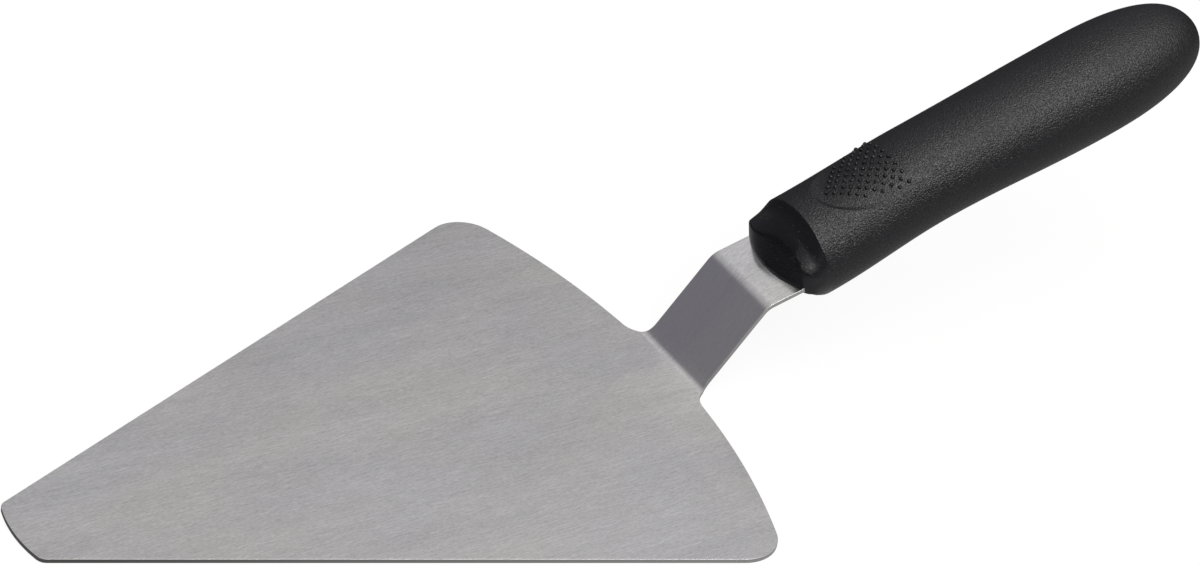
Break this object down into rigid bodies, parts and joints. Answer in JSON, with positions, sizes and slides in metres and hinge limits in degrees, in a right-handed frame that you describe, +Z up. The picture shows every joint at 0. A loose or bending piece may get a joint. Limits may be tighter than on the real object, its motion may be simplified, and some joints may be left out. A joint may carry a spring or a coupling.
{
  "type": "pizza server",
  "caption": "Slice-shaped flat steel blade with a cranked neck, whose tang is moulded into a rounded plastic handle with a dotted thumb rest, for lifting and serving pizza.",
  "frame": {"origin": "on the underside of the blade, below the middle of the server's length and width", "axes": "+X from the blade's tip towards the end of the handle, +Y across the blade, +Z up, with the blade flat on z = 0"},
  "size_m": [0.2822, 0.1274, 0.0647],
  "materials": {
    "steel": "satin, brushed along the blade",
    "plastic": "matte with a fine moulded grain"
  },
  "bodies": {
    "root": {"blade": "steel", "handle": "plastic"}
  },
  "joints": []
}
